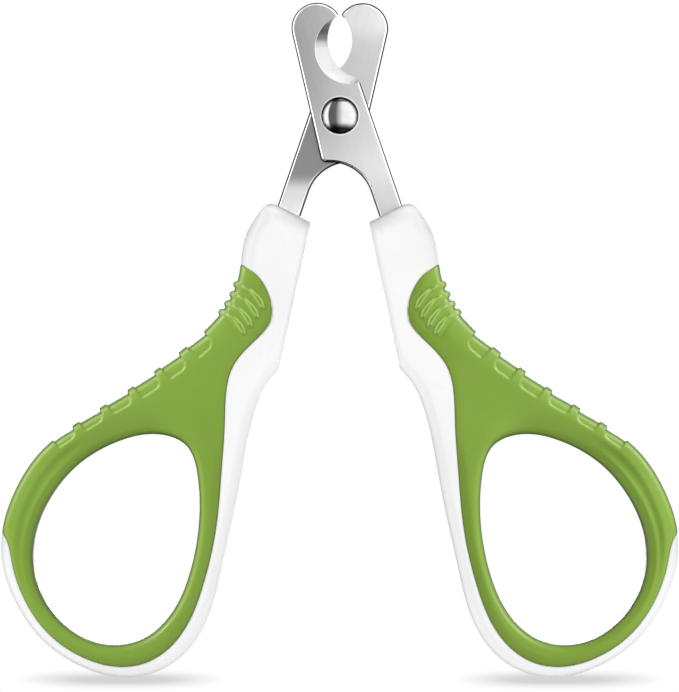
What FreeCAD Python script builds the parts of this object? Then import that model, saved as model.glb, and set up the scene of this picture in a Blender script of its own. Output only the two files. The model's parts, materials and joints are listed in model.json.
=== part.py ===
import FreeCAD
import Part
import math
import os

# Scissor-style nail clipper for small pets, half open, standing on its finger loops.
#
# Frame, in millimetres: the origin is on the ground, midway between the two loops and straight below
# the pivot. +X points right, +Y away from the viewer and +Z up, towards the blade tips. The shapes are
# drawn about the pivot, which is y = 0 midway between the blades, and lifted into place at the end.
#
# Two levers cross at the pivot. The front lever runs from upper left to lower right, and the rear
# lever is the same lever given half a turn about Z, so each shape is drawn once. A lever is a stamped
# steel blade, a rigid plastic core moulded on the blade's tang, and a soft grip moulded over the core.
# A two-piece rivet with a spring washer under its rear cap holds the levers together.

PIVOT_HEIGHT = 101.21  # from the ground under the loops to the pivot axis
CUT_OVERRUN = 1.0  # how far a hole's cutting rod stands out of the material
EDGE_SLACK = 0.01  # allowed when edges are picked by where they lie
HEEL_STOP_SLACK = 1.0  # the straight side ends this near the heel stop
LONG_SIDE = 20.0  # only the handle's long edges are longer than this

# ---- blade plate
BLADE_THICK = 1.5
BLADE_GAP = 0.04  # running gap between the mating faces
EDGE_CHAMFER = 0.45  # on both faces, before the notch is cut
HEAD_CENTRE = (-4.12, 15.74)
HEAD_RADIUS = 4.6
HEAD_START_ANGLE = 20.0  # where the head's arc begins inside the notch, from +X towards +Z
BACK_ANGLE = 13.0  # lean of the back edge from vertical, degrees
TANG_ANGLE = 18.9  # lean of the tang from vertical, degrees
TANG_WIDTH = 4.53
CROTCH_CENTRE = (-1.76, -16.17)  # concave arc between the heel and the tang's inner edge
CROTCH_RADIUS = 7.75
HEEL_RADIUS = 1.1
TANG_END_Z = -34.0
ANCHOR_HOLE_RADIUS = 1.1  # plastic fills these when the core is moulded
ANCHOR_HOLE_Z = (-23.5, -29.5)

# ---- claw notch: a skew cone through the plate, wide on the mating face
NOTCH_FACE_CENTRE = (1.80, 12.03)
NOTCH_FACE_RADIUS = 6.3
NOTCH_EDGE_CENTRE = (4.69, 13.66)
NOTCH_EDGE_RADIUS = 6.9
NOTCH_OVERRUN = 0.3  # how far the cutting cone runs past each face, in plate thicknesses

# ---- pivot
SHANK_RADIUS = 1.75
RUNNING_FIT = 0.05  # radial clearance of the blade that turns on the shank
RIVET_HEAD_RADIUS = 3.35
RIVET_HEAD_RIM = 0.4  # height of the head's straight side
RIVET_HEAD_RISE = 1.15  # height of the dome above that side
PIN_RADIUS = 1.2  # stepped end of the shank, inside the rear cap
WASHER_RADIUS = 3.6
WASHER_THICK = 0.3
HEAD_CLEARANCE = 0.03  # the front head turns just clear of the front blade
BLADE_OUTER = BLADE_GAP / 2 + BLADE_THICK  # y of each blade's outer face
HEAD_SEAT = BLADE_OUTER + HEAD_CLEARANCE
CAP_SEAT = BLADE_OUTER + WASHER_THICK
PIN_END = CAP_SEAT + 0.9  # inside the cap's dome
ROD_OVERLAP = 0.2  # how far the rivet's rods run into each other before they are fused

# ---- handle section
CORE_HALF = 3.85
GRIP_HALF = 4.1
CORE_ROUND = 1.9
CORE_STRAIGHT_ROUND = 0.8  # along the straight side that faces the other handle
GRIP_ROUND = 2.2
HOLE_ROUND = 1.7
SKELETON_HALF = 2.3  # the part of the core hidden in the grip
SKELETON_INSET = 1.35

# ---- grip relief
PANEL_SIDE_DEPTH = 0.5
PANEL_FACE_DEPTH = 0.3
RIB_SIDE_RISE = 0.5
RIB_WIDTH = 0.9
DISH_CENTRE = (17.0, -34.3)  # shallow thumb dish across the waist; the ribs end level with the face
DISH_ANGLE = 24.0  # how far the dish's axis rises to the right, degrees
DISH_REACH = 7.0
DISH_DEPTH = 0.32
ROLLER_LENGTH = 40.0
PANEL_LEAD = 0.2  # each panel starts this far before its first end
PANEL_OVERHANG = 2.0  # how far a panel's cutting outline stands outside the handle

# ---- handle outlines, (x, z), for the front lever
NECK_TOP_INNER = (5.20, -19.15)
NECK_TOP_OUTER = (10.85, -16.40)
HEEL_STOP = (10.85, -45.55)  # the corner where the two closed handles meet
# clockwise from the neck's shoulder, down the grip, round the loop and back up to the heel
OUTSIDE = (
    (12.90, -15.90),
    (14.60, -17.55),
    (16.79, -21.17),
    (17.73, -25.49),
    (18.25, -29.00),
    (19.76, -33.05),
    (22.55, -36.92),
    (28.35, -42.14),
    (37.76, -49.07),
    (47.63, -55.51),
    (53.60, -60.23),
    (58.40, -67.40),
    (60.75, -74.63),
    (60.71, -80.93),
    (58.55, -87.23),
    (54.05, -93.98),
    (46.85, -99.11),
    (39.00, -101.20),
    (31.55, -99.56),
    (26.51, -95.33),
    (23.45, -89.57),
    (21.20, -80.93),
    (18.05, -66.17),
    (14.81, -51.77),
    (13.19, -48.35),
    HEEL_STOP,
)
FINGER_HOLE = (
    (33.08, -57.40),
    (39.65, -58.61),
    (46.85, -62.66),
    (52.25, -69.05),
    (55.04, -76.43),
    (54.80, -83.00),
    (50.45, -90.83),
    (43.25, -95.00),
    (35.60, -94.25),
    (30.47, -89.84),
    (27.10, -82.60),
    (25.34, -72.83),
    (25.60, -65.00),
    (27.60, -59.50),
)
# the grip's edge on the faces; it leaves the handle at both ends
SEAM = (
    (19.50, -26.15),
    (17.87, -26.84),
    (15.35, -28.19),
    (13.25, -30.89),
    (12.12, -34.13),
    (12.30, -37.00),
    (14.09, -39.53),
    (17.33, -42.68),
    (19.49, -45.83),
    (20.39, -49.43),
    (20.70, -55.50),
    (21.20, -63.83),
    (22.37, -75.53),
    (24.35, -83.99),
    (27.59, -92.09),
    (31.19, -96.41),
    (36.05, -98.93),
    (41.45, -99.11),
    (46.85, -97.31),
    (52.25, -93.53),
    (56.75, -87.23),
    (58.91, -81.11),
    (59.75, -77.20),
    (60.86, -75.08),
    (62.60, -74.00),
)
# two corners well outside the handle, which close the grip's zone beyond its outside edge
CLEAR_OF_GRIP = ((68.0, -52.0), (40.0, -22.0))
# recessed panels along the outside edge: both ends on the edge, then how far in they reach
PANELS = (
    ((24.35, -39.44), (27.05, -42.14), 2.5),
    ((28.85, -43.40), (31.91, -45.83), 2.4),
    ((33.35, -46.73), (36.77, -49.25), 2.3),
    ((38.21, -50.06), (41.81, -52.22), 2.0),
    ((43.25, -53.21), (46.67, -55.46), 1.8),
    ((48.11, -56.45), (51.35, -58.79), 1.5),
)
# centre line of each thumb rib, from its inner end to just outside the handle
RIBS = (
    ((13.64, -34.49), (14.45, -32.87), (16.25, -31.34), (20.20, -30.50)),
    ((14.63, -36.29), (15.62, -34.49), (17.33, -32.95), (21.00, -31.95)),
    ((15.89, -37.82), (16.79, -36.20), (18.41, -34.70), (22.00, -33.50)),
    ((17.15, -38.99), (18.23, -37.37), (19.67, -36.10), (23.10, -34.80)),
)


def spot(xz, y=0.0):
    return FreeCAD.Vector(xz[0], y, xz[1])


def smooth_edge(points, closed=False, shift=0.0):
    """Smooth edge through the points, moved sideways by shift to the left of their direction."""
    curve = Part.BSplineCurve()
    curve.interpolate(Points=[spot(p) for p in points], PeriodicFlag=closed)
    if shift:
        moved = []
        for p in points:
            direction = curve.tangent(curve.parameter(spot(p)))[0]
            moved.append(spot(p) + direction.cross(FreeCAD.Vector(0, 1, 0)) * shift)
        curve.interpolate(Points=moved, PeriodicFlag=closed)
    return curve.toShape()


def slab(face, low, high):
    """Solid between two depths, from a face drawn at y = 0."""
    moved = face.translated(FreeCAD.Vector(0, low, 0))
    return moved.extrude(FreeCAD.Vector(0, high - low, 0)).Solids[0]


def through(face):
    """Prism that runs right through a handle."""
    return slab(face, -2 * GRIP_HALF, 2 * GRIP_HALF)


def rod(radius, low, high, centre=(0.0, 0.0)):
    return Part.makeCylinder(radius, high - low, spot(centre, low), FreeCAD.Vector(0, 1, 0))


def half_turn(shape):
    return shape.rotated(FreeCAD.Vector(0, 0, 0), FreeCAD.Vector(0, 0, 1), 180)


def at_depth(edge, depth):
    """True for an edge that lies flat at that distance from the handle's mid-plane."""
    box = edge.BoundBox
    return box.YLength < 1e-5 and abs(abs(box.YMin) - depth) < 1e-5


def rounded_outline(corners):
    """Closed wire through (x, z, radius) corners, each one rounded by its own radius."""
    edges = []
    first_start = None
    last_end = None
    for index, (x, z, radius) in enumerate(corners):
        here = spot((x, z))
        back = (spot(corners[index - 1][:2]) - here).normalize()
        ahead = (spot(corners[(index + 1) % len(corners)][:2]) - here).normalize()
        half_angle = back.getAngle(ahead) / 2
        reach = radius / math.tan(half_angle)
        start = here + back * reach
        end = here + ahead * reach
        if last_end is None:
            first_start = start
        else:
            edges.append(Part.makeLine(last_end, start))
        if radius > 0:
            inward = (back + ahead).normalize()
            middle = here + inward * (radius / math.sin(half_angle) - radius)
            edges.append(Part.Arc(start, middle, end).toShape())
        last_end = end
    edges.append(Part.makeLine(last_end, first_start))
    return Part.Wire(edges)


# ---------------------------------------------------------------- blades


def leaning(angle):
    """Unit vector down a line that leans to the right of vertical."""
    return spot((math.sin(math.radians(angle)), -math.cos(math.radians(angle))))


def on_circle(centre, radius, angle):
    """Point on a circle, its angle in degrees counted from +X towards +Z."""
    turn = math.radians(angle)
    return spot(centre) + spot((radius * math.cos(turn), radius * math.sin(turn)))


def tang_point(z, across):
    """A point on the tang at height z, that far out from its inner edge."""
    level = on_circle(CROTCH_CENTRE, CROTCH_RADIUS + across, TANG_ANGLE)
    down = leaning(TANG_ANGLE)
    return level + down * ((z - level.z) / down.z)


def blade_outline():
    """Head, back edge, heel, crotch and tang; the claw notch is cut out of it afterwards."""
    head_end = on_circle(HEAD_CENTRE, HEAD_RADIUS, 180 + BACK_ANGLE)
    crotch_start = on_circle(CROTCH_CENTRE, CROTCH_RADIUS, 90)
    back_down = leaning(BACK_ANGLE)
    heel = head_end + back_down * ((crotch_start.z - head_end.z) / back_down.z)
    half_heel_angle = math.radians(90 + BACK_ANGLE) / 2
    to_crotch = FreeCAD.Vector(1, 0, 0)
    reach = HEEL_RADIUS / math.tan(half_heel_angle)
    heel_start = heel - back_down * reach
    heel_end = heel + to_crotch * reach
    heel_inward = (to_crotch - back_down).normalize()
    heel_middle = heel + heel_inward * (HEEL_RADIUS / math.sin(half_heel_angle) - HEEL_RADIUS)
    crotch_middle = on_circle(CROTCH_CENTRE, CROTCH_RADIUS, (90 + TANG_ANGLE) / 2)
    crotch_end = on_circle(CROTCH_CENTRE, CROTCH_RADIUS, TANG_ANGLE)
    tang_end = tang_point(TANG_END_Z, 0)
    tang_end_outer = tang_point(TANG_END_Z, TANG_WIDTH)
    # the next two points lie inside the notch
    notch_low = tang_point(NOTCH_FACE_CENTRE[1] - NOTCH_FACE_RADIUS / 2, TANG_WIDTH)
    head_start = on_circle(HEAD_CENTRE, HEAD_RADIUS, HEAD_START_ANGLE)
    edges = [
        Part.Arc(head_start, on_circle(HEAD_CENTRE, HEAD_RADIUS, 90), head_end).toShape(),
        Part.makeLine(head_end, heel_start),
        Part.Arc(heel_start, heel_middle, heel_end).toShape(),
        Part.makeLine(heel_end, crotch_start),
        Part.Arc(crotch_start, crotch_middle, crotch_end).toShape(),
        Part.makeLine(crotch_end, tang_end),
        Part.makeLine(tang_end, tang_end_outer),
        Part.makeLine(tang_end_outer, notch_low),
        Part.makeLine(notch_low, head_start),
    ]
    return Part.Wire(edges)


def notch_circle(share, low, high):
    """Section of the notch's skew cone; share runs from 0 on the outer face to 1 on the mating face."""
    centre = [
        face + share * (edge - face) for face, edge in zip(NOTCH_FACE_CENTRE, NOTCH_EDGE_CENTRE)
    ]
    radius = NOTCH_FACE_RADIUS + share * (NOTCH_EDGE_RADIUS - NOTCH_FACE_RADIUS)
    depth = low + share * (high - low)
    circle = Part.Circle(spot(centre, depth), FreeCAD.Vector(0, 1, 0), radius)
    return Part.Wire([circle.toShape()])


def blade(hole_radius):
    """The front lever's blade, its outer face towards the viewer."""
    outer_y = -BLADE_OUTER
    mating_y = -BLADE_GAP / 2
    plate = slab(Part.Face(blade_outline()), outer_y, mating_y)
    rims = [e for e in plate.Edges if e.BoundBox.YLength < BLADE_THICK / 10]
    plate = plate.makeChamfer(EDGE_CHAMFER, rims)
    sections = [notch_circle(share, outer_y, mating_y) for share in (-NOTCH_OVERRUN, 1 + NOTCH_OVERRUN)]
    plate = plate.cut(Part.makeLoft(sections, True, True))
    hole_start = outer_y - CUT_OVERRUN
    hole_end = mating_y + CUT_OVERRUN
    for z in ANCHOR_HOLE_Z:
        centre = tang_point(z, TANG_WIDTH / 2)
        plate = plate.cut(rod(ANCHOR_HOLE_RADIUS, hole_start, hole_end, (centre.x, centre.z)))
    plate = plate.cut(rod(hole_radius, hole_start, hole_end))
    return plate.Solids[0]


# ---------------------------------------------------------------- pivot


def dome(inner_y, direction):
    """Domed rivet head standing on a blade face; direction is -1 to the front and +1 to the rear."""
    sphere_radius = (RIVET_HEAD_RADIUS**2 + RIVET_HEAD_RISE**2) / (2 * RIVET_HEAD_RISE)
    rim_y = RIVET_HEAD_RIM
    top_y = RIVET_HEAD_RIM + RIVET_HEAD_RISE
    disc = rod(RIVET_HEAD_RADIUS, 0, top_y)
    ball = Part.makeSphere(sphere_radius, FreeCAD.Vector(0, top_y - sphere_radius, 0))
    head = disc.common(ball).Solids[0]
    flat = [e for e in head.Edges if e.BoundBox.YLength < EDGE_SLACK]
    softened = [e for e in flat if abs(e.BoundBox.YMin - rim_y) < EDGE_SLACK]
    head = head.makeFillet(RIVET_HEAD_RIM / 2, softened)
    if direction < 0:
        head = half_turn(head)
    return head.translated(FreeCAD.Vector(0, inner_y, 0))


def pivot_rivet():
    head = dome(-HEAD_SEAT, -1)
    shank = rod(SHANK_RADIUS, -HEAD_SEAT - ROD_OVERLAP, BLADE_OUTER)
    pin = rod(PIN_RADIUS, BLADE_OUTER - ROD_OVERLAP, PIN_END)
    return head.fuse([shank, pin]).removeSplitter().Solids[0]


def rivet_rear_cap():
    return dome(CAP_SEAT, 1).cut(rod(PIN_RADIUS, CAP_SEAT - CUT_OVERRUN, PIN_END)).Solids[0]


def tension_washer():
    disc = rod(WASHER_RADIUS, BLADE_OUTER, CAP_SEAT)
    rim = [e for e in disc.Edges if e.BoundBox.YMin > CAP_SEAT - EDGE_SLACK]
    disc = disc.makeChamfer(WASHER_THICK / 2, rim)
    return disc.cut(rod(PIN_RADIUS, BLADE_OUTER - CUT_OVERRUN, CAP_SEAT + CUT_OVERRUN)).Solids[0]


# ---------------------------------------------------------------- handles


def outside_edge(grow=0.0):
    """The handle's outside from neck to heel, moved off the plastic by grow, with its two ends."""
    edge = smooth_edge(OUTSIDE, shift=grow)
    start, end = [v.Point for v in edge.Vertexes]
    return edge, start, end


def handle_face(inset=0.0):
    """The handle in plan, its outside and its finger hole drawn in from the edges by inset."""
    outside, start, end = outside_edge(-inset)
    neck = [end, spot(NECK_TOP_INNER), spot(NECK_TOP_OUTER), start]
    sides = [Part.makeLine(a, b) for a, b in zip(neck, neck[1:])]
    hole = smooth_edge(FINGER_HOLE, closed=True, shift=inset)
    return Part.Face(Part.Wire([outside] + sides)).cut(Part.Face(Part.Wire([hole]))).Faces[0]


def is_straight_rim(edge):
    """True for a rim edge along the side that faces the other handle."""
    box = edge.BoundBox
    return box.ZMin > HEEL_STOP[1] - HEEL_STOP_SLACK and box.ZLength > LONG_SIDE


def rounded_handle(half, edge_round):
    """The whole handle as one slab, with its outside and its finger hole rounded over."""
    solid = slab(handle_face(), -half, half)
    solid = solid.makeFillet(HOLE_ROUND, [e for e in solid.Edges if at_depth(e, half) and e.isClosed()])
    rims = [e for e in solid.Edges if at_depth(e, half) and not e.isClosed()]
    solid = solid.makeFillet(edge_round, [e for e in rims if not is_straight_rim(e)])
    rims = [e for e in solid.Edges if at_depth(e, half) and not e.isClosed()]
    return solid.makeFillet(CORE_STRAIGHT_ROUND, [e for e in rims if is_straight_rim(e)]).Solids[0]


def relief_level(face_rise, side_rise):
    """Slab whose surface is the grip's own, lifted off the faces and off the outside edge."""
    half = GRIP_HALF + face_rise
    outside, start, end = outside_edge(side_rise)
    chord = Part.makeLine(end, start)
    solid = slab(Part.Face(Part.Wire([outside, chord])), -half, half)
    rims = [e for e in solid.Edges if at_depth(e, half) and e.BoundBox.XLength > LONG_SIDE]
    return solid.makeFillet(GRIP_ROUND, rims).Solids[0]


def grip_zone():
    """Everything on the grip's side of the seam, right through the handle."""
    around = [spot(p) for p in (SEAM[-1], *CLEAR_OF_GRIP, SEAM[0])]
    outside = [Part.makeLine(a, b) for a, b in zip(around, around[1:])]
    return through(Part.Face(Part.Wire([smooth_edge(SEAM)] + outside)))


def skeleton():
    """Thinner plate of core plastic that runs on inside the grip and round the loop."""
    return slab(handle_face(SKELETON_INSET), -SKELETON_HALF, SKELETON_HALF)


def panel_zones():
    """Plan outlines of the recessed panels along the grip's outside edge, as through prisms.

    Each is a lopsided D, given as distance along the edge, distance in from it and corner radius.
    """
    zones = []
    for start, end, reach in PANELS:
        along = spot(end) - spot(start)
        length = along.Length
        along.normalize()
        inward = along.cross(FreeCAD.Vector(0, -1, 0))
        corners = []
        for s, t, radius in (
            (-PANEL_LEAD, -PANEL_OVERHANG, 0.0),
            (length, -PANEL_OVERHANG, 0.0),
            (length, 0.9 * reach, 0.7),
            (PANEL_LEAD, reach, 1.0),
            (-PANEL_LEAD, 0.4 * reach, 0.4),
        ):
            corner = spot(start) + along * s + inward * t
            corners.append((corner.x, corner.z, radius))
        zones.append(through(Part.Face(rounded_outline(corners))))
    return zones


def rib_zones():
    """Plan outlines of the thumb ribs, as through prisms: curved bars with a round inner end."""
    zones = []
    for points in RIBS:
        one_side = smooth_edge(points, shift=RIB_WIDTH / 2)
        other_side = smooth_edge(points, shift=-RIB_WIDTH / 2)
        one_start, one_end = [v.Point for v in one_side.Vertexes]
        other_start, other_end = [v.Point for v in other_side.Vertexes]
        backwards = (spot(points[0]) - spot(points[1])).normalize()
        tip = spot(points[0]) + backwards * (RIB_WIDTH / 2)
        round_end = Part.Arc(one_start, tip, other_start).toShape()
        square_end = Part.makeLine(one_end, other_end)
        zones.append(through(Part.Face(Part.Wire([one_side, square_end, other_side, round_end]))))
    return zones


def dish_roller(side):
    """Large cylinder that hollows the thumb dish; side is -1 for the front face and +1 for the rear."""
    radius = (DISH_REACH**2 + DISH_DEPTH**2) / (2 * DISH_DEPTH)
    turn = math.radians(DISH_ANGLE)
    along = spot((math.cos(turn), math.sin(turn)))
    axis_point = spot(DISH_CENTRE, side * (GRIP_HALF - DISH_DEPTH + radius))
    return Part.makeCylinder(radius, ROLLER_LENGTH, axis_point - along * (ROLLER_LENGTH / 2), along)


def bare_grip():
    """Grip before the core is taken out of it, with its panels sunk and its ribs raised."""
    solid = rounded_handle(GRIP_HALF, GRIP_ROUND)
    sunk = relief_level(-PANEL_FACE_DEPTH, -PANEL_SIDE_DEPTH)
    for zone in panel_zones():
        solid = solid.cut(zone.cut(sunk))
    for side in (-1, 1):
        solid = solid.cut(dish_roller(side))
    raised = relief_level(0, RIB_SIDE_RISE)
    for zone in rib_zones():
        solid = solid.fuse(zone.common(raised))
    return solid


def handle_core(front_blade):
    """Rigid plastic: neck, heel and outer rim, with the skeleton inside the grip and the tang's slot."""
    zone = grip_zone()
    solid = rounded_handle(CORE_HALF, CORE_ROUND).cut(zone)
    solid = solid.fuse(skeleton().common(zone))
    return solid.cut(front_blade).Solids[0]


def handle_grip():
    """Soft grip: waist, web and finger ring, moulded round the skeleton."""
    return bare_grip().common(grip_zone()).cut(skeleton()).Solids[0]


def main():
    os.makedirs("parts", exist_ok=True)
    front_blade = blade(SHANK_RADIUS + RUNNING_FIT)
    core = handle_core(front_blade)
    grip = handle_grip()
    pieces = {
        "front_blade": front_blade,
        "rear_blade": half_turn(blade(SHANK_RADIUS)),
        "pivot_rivet": pivot_rivet(),
        "tension_washer": tension_washer(),
        "rivet_rear_cap": rivet_rear_cap(),
        "right_handle_core": core,
        "left_handle_core": half_turn(core),
        "right_grip": grip,
        "left_grip": half_turn(grip),
    }
    for name, solid in pieces.items():
        solid.translated(FreeCAD.Vector(0, 0, PIVOT_HEIGHT)).exportStep("parts/" + name + ".step")


main()
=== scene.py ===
"""Looks of the scissor nail clipper: moulded handles, brushed blades, studio floor, light and camera."""

import json
import math

import bpy
import numpy as np
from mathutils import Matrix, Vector, kdtree

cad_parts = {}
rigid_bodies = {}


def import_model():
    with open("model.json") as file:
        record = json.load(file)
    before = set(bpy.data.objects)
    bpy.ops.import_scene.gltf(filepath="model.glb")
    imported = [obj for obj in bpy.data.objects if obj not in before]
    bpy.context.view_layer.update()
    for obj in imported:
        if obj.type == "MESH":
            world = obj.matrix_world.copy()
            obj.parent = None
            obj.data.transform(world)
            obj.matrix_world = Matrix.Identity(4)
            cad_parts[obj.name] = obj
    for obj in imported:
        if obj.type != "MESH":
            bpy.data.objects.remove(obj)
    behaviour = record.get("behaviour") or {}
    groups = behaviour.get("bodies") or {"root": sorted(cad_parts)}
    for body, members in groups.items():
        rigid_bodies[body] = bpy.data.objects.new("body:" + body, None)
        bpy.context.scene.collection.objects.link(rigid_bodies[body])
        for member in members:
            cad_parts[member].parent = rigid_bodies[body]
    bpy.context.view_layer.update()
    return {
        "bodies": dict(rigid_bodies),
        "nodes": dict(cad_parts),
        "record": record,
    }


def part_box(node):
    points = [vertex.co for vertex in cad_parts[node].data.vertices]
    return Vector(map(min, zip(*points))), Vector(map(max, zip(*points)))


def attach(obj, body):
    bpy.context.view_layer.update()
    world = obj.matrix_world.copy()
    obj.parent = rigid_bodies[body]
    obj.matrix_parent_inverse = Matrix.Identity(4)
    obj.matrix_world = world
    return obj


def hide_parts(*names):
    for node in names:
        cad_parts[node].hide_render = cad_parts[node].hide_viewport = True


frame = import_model()

MM = 0.001
PIVOT = Vector(frame["record"]["behaviour"]["joints"][0]["pos_m"])

# ------------------------------------------------------------------ handle shape, in mm
# Plan points (x, z) are measured from the pivot axis, y from the plane between the blades.
CORE_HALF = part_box("right_handle_core")[1].y / MM
GRIP_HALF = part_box("right_grip")[1].y / MM

NECK_TOP_INNER = (5.20, -19.15)
NECK_TOP_OUTER = (10.85, -16.40)
HEEL_STOP = (10.85, -45.55)
OUTSIDE = (
    (11.50, -15.98), (12.60, -15.86), (13.60, -16.35), (14.60, -17.55), (16.79, -21.17),
    (17.73, -25.49), (18.25, -29.00), (19.76, -33.05), (22.55, -36.92), (28.35, -42.14),
    (37.76, -49.07), (47.63, -55.51), (53.60, -60.23), (58.40, -67.40), (60.75, -74.63),
    (60.71, -80.93), (58.55, -87.23), (54.05, -93.98), (46.85, -99.11), (39.00, -101.20),
    (31.55, -99.56), (26.51, -95.33), (23.45, -89.57), (21.20, -80.93), (18.05, -66.17),
    (14.81, -51.77), (13.19, -48.35), HEEL_STOP,
)
FINGER_HOLE = (
    (33.08, -57.40), (39.65, -58.61), (46.85, -62.66), (52.25, -69.05), (55.04, -76.43),
    (54.80, -83.00), (50.45, -90.83), (43.25, -95.00), (35.60, -94.25), (30.47, -89.84),
    (27.10, -82.60), (25.34, -72.83), (25.60, -65.00), (27.60, -59.50),
)
SEAM = (
    (19.50, -26.15), (17.87, -26.84), (15.35, -28.19), (13.25, -30.89), (12.12, -34.13),
    (12.30, -37.00), (14.09, -39.53), (17.33, -42.68), (19.49, -45.83), (20.39, -49.43),
    (20.70, -55.50), (21.20, -63.83), (22.37, -75.53), (24.35, -83.99), (27.59, -92.09),
    (31.19, -96.41), (36.05, -98.93), (41.45, -99.11), (46.85, -97.31), (52.25, -93.53),
    (56.75, -87.23), (58.91, -81.11), (59.75, -77.20), (60.86, -75.08), (62.60, -74.00),
)
PANELS = (  # both ends on the outside edge, then how far in the panel reaches
    ((24.35, -39.44), (27.05, -42.14), 2.5),
    ((28.85, -43.40), (31.91, -45.83), 2.4),
    ((33.35, -46.73), (36.77, -49.25), 2.3),
    ((38.21, -50.06), (41.81, -52.22), 2.0),
    ((43.25, -53.21), (46.67, -55.46), 1.8),
    ((48.11, -56.45), (51.35, -58.79), 1.5),
)
RIB_STEPS = ((0.0, 0.0), (1.0, -1.64), (2.16, -3.20), (3.42, -4.60))
RIB_BODY = (
    (14.09, -34.40), (14.81, -33.32), (15.80, -31.97), (17.10, -31.07), (19.20, -30.22), (21.50, -29.60),
)
RIB_LIP = ((13.66, -34.62), (13.91, -33.64), (14.52, -32.72), (15.26, -31.97), (16.07, -31.30))
# plan grid, finer over the ribs and the panels: (where a stretch starts, its spacing)
COARSER = 1.0
ACROSS_PLAN = ((3.6, 0.24), (12.5, 0.10), (24.0, 0.15), (53.0, 0.18), (62.8, 0))
DOWN_PLAN = ((-102.6, 0.18), (-60.0, 0.15), (-40.5, 0.10), (-29.0, 0.24), (-14.4, 0))
THROUGH = 0.17 * COARSER
RELAX_ROUNDS = 3
RELAX_SHARE = 0.6  # how far each round takes a point towards the middle of its neighbours
RETURN_STEPS = 2  # steps that put the points back on the surface after each round
FLATTEST = 0.05  # least squared slope trusted in such a step, as a share of the mean


def smooth_curve(points, closed=False, step=0.1):
    """Points about every step mm along the smooth cubic through the given ones."""
    p = np.array(points, float)
    if closed:
        p = np.vstack([p, p[:1]])
    gaps = np.linalg.norm(np.diff(p, axis=0), axis=1)
    t = np.concatenate([[0.0], np.cumsum(gaps)])
    n = len(p)
    slopes = np.diff(p, axis=0) / gaps[:, None]
    a = np.zeros((n, n))
    b = np.zeros((n, 2))
    for i in range(1, n - 1):
        a[i, i - 1 : i + 2] = gaps[i - 1], 2 * (gaps[i - 1] + gaps[i]), gaps[i]
        b[i] = 6 * (slopes[i] - slopes[i - 1])
    a[0, 0] = 1
    if closed:
        a[0, -1] = -1
        a[-1, [0, 1, -2, -1]] = 2 * gaps[0], gaps[0], gaps[-1], 2 * gaps[-1]
        b[-1] = 6 * (slopes[0] - slopes[-1])
    else:
        a[-1, -1] = 1
    m = np.linalg.solve(a, b)
    s = np.linspace(0, t[-1], int(t[-1] / step) + 1)
    i = np.clip(np.searchsorted(t, s, side="right") - 1, 0, n - 2)
    u = (s - t[i])[:, None]
    v = (t[i + 1] - s)[:, None]
    g = gaps[i][:, None]
    cubic = (m[i] * v**3 + m[i + 1] * u**3) / (6 * g)
    return cubic + (p[i] / g - m[i] * g / 6) * v + (p[i + 1] / g - m[i + 1] * g / 6) * u


def straight_run(points, step=0.1):
    """Points about every step mm along straight lines."""
    p = np.array(points, float)
    run = [p[:1]]
    for a, b in zip(p, p[1:]):
        count = max(int(np.linalg.norm(b - a) / step), 1)
        run.append(a + (b - a) * (np.arange(1, count + 1) / count)[:, None])
    return np.vstack(run)


class Plan:
    """Grid of plan points on which the handle's distances are worked out."""

    def __init__(self):
        self.xs = self.stretches(ACROSS_PLAN)
        self.zs = self.stretches(DOWN_PLAN)
        self.x, self.z = np.meshgrid(self.xs, self.zs, indexing="ij")

    @staticmethod
    def stretches(plan):
        """Grid positions along one axis."""
        runs = []
        for (start, spacing), (end, _) in zip(plan, plan[1:]):
            runs.append(np.linspace(start, end, int((end - start) / (spacing * COARSER)), endpoint=False))
        return np.concatenate(runs)

    def distance(self, line):
        """Distance from every grid point to a dense open line."""
        tree = kdtree.KDTree(len(line))
        for i, (x, z) in enumerate(line):
            tree.insert((x, z, 0), i)
        tree.balance()
        points = np.stack([self.x.ravel(), self.z.ravel()], 1)
        near = np.fromiter((tree.find((x, z, 0))[1] for x, z in points), int, len(points))
        best = np.full(len(points), np.inf)
        for shift in (-1, 0):
            i = np.clip(near + shift, 0, len(line) - 2)
            a = line[i]
            ab = line[i + 1] - a
            along = np.clip(((points - a) * ab).sum(1) / np.maximum((ab * ab).sum(1), 1e-12), 0, 1)
            best = np.minimum(best, np.linalg.norm(points - a - ab * along[:, None], axis=1))
        return best.reshape(self.x.shape)

    def value_at(self, values, x, z):
        """Values of a plan field between the grid points."""
        i = np.clip(np.searchsorted(self.xs, x) - 1, 0, len(self.xs) - 2)
        k = np.clip(np.searchsorted(self.zs, z) - 1, 0, len(self.zs) - 2)
        u = np.clip((x - self.xs[i]) / (self.xs[i + 1] - self.xs[i]), 0, 1)
        v = np.clip((z - self.zs[k]) / (self.zs[k + 1] - self.zs[k]), 0, 1)
        low = values[i, k] * (1 - u) + values[i + 1, k] * u
        high = values[i, k + 1] * (1 - u) + values[i + 1, k + 1] * u
        return low * (1 - v) + high * v

    def inside(self, loop):
        """True for grid points inside a closed line."""
        result = np.zeros(self.x.shape, bool)
        a, b = loop, np.roll(loop, -1, axis=0)
        for k, z in enumerate(self.zs):
            hit = (a[:, 1] > z) != (b[:, 1] > z)
            crossing = a[hit, 0] + (z - a[hit, 1]) * (b[hit, 0] - a[hit, 0]) / (b[hit, 1] - a[hit, 1])
            result[:, k] = np.searchsorted(np.sort(crossing), self.xs) % 2 == 1
        return result

    def signed(self, loop):
        """Distance to a closed line, negative inside it."""
        closed = np.vstack([loop, loop[:1]])
        return self.distance(closed) * np.where(self.inside(loop), -1, 1)


def ramp(value, low, high):
    """Smooth step from 0 at low to 1 at high."""
    t = np.clip((value - low) / (high - low), 0, 1)
    return t * t * (3 - 2 * t)


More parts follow.
